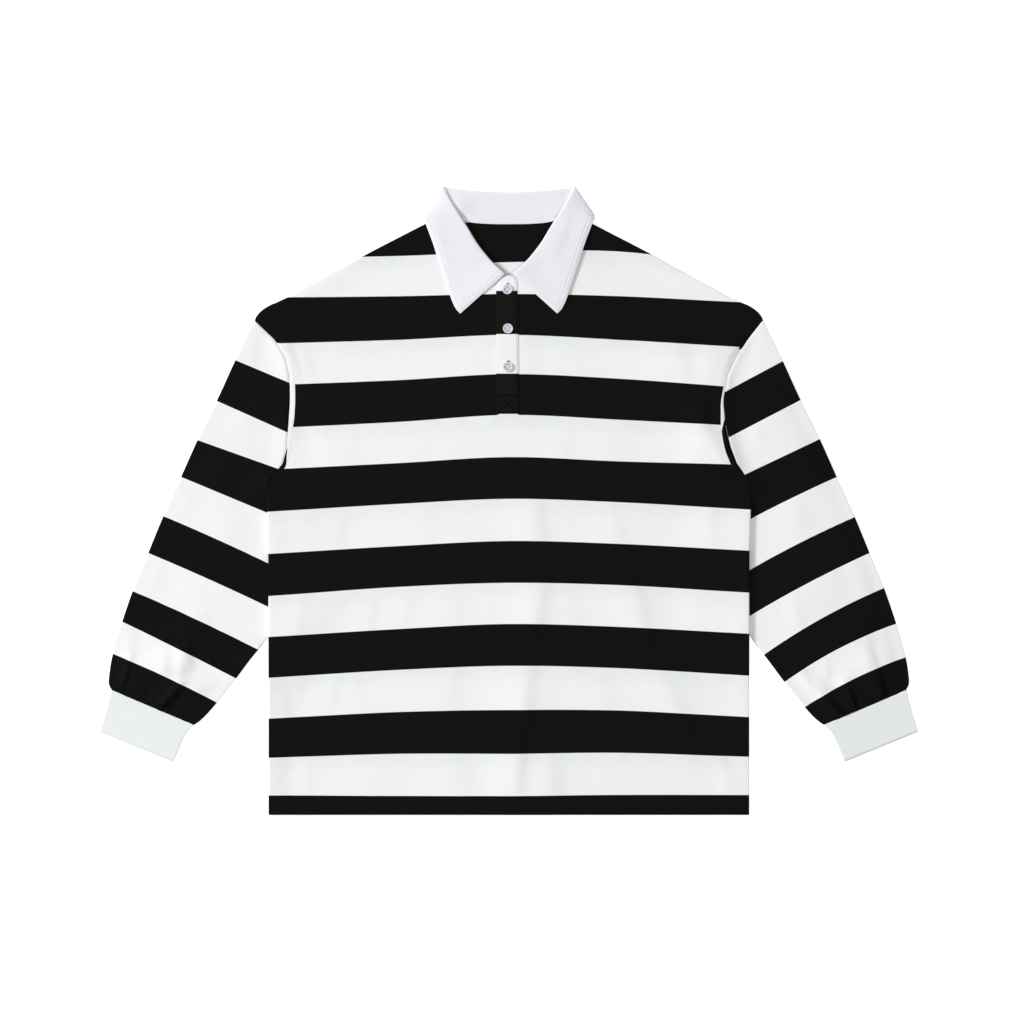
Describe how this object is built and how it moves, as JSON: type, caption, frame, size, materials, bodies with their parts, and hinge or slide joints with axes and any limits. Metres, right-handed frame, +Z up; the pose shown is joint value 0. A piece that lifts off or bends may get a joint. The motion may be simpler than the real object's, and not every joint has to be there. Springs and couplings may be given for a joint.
{
  "type": "polo shirt",
  "caption": "Long-sleeved striped polo shirt laid flat on its back, with a white woven collar, a buttoned placket, dropped shoulders and rib-knit cuffs.",
  "frame": {"origin": "middle of the bounding box at its lowest level, on the surface that the shirt lies on, about on the middle front line at chest height", "axes": "+X towards the wearer's left sleeve, +Y from the hem towards the collar, +Z up from the surface, out of the front of the shirt"},
  "size_m": [0.9782, 0.7508, 0.0134],
  "materials": {
    "striped_jersey": "heavy combed cotton jersey in black and white stripes 50 mm wide, matt",
    "rib_knit": "white fine cotton rib knit",
    "collar_twill": "white cotton twill, pressed, interlined",
    "tape": "white cotton tape",
    "button": "bluish pearl polyester"
  },
  "bodies": {
    "root": {"front": "striped_jersey", "back": "striped_jersey", "sleeve_left": "striped_jersey", "sleeve_right": "striped_jersey", "cuff_left": "rib_knit", "cuff_right": "rib_knit", "armhole_strip_left": "striped_jersey", "armhole_strip_right": "striped_jersey", "collar": "collar_twill", "neck_tape": "tape", "placket": "striped_jersey", "placket_under": "striped_jersey", "button_top": "button", "button_middle": "button", "button_bottom": "button"}
  },
  "joints": []
}
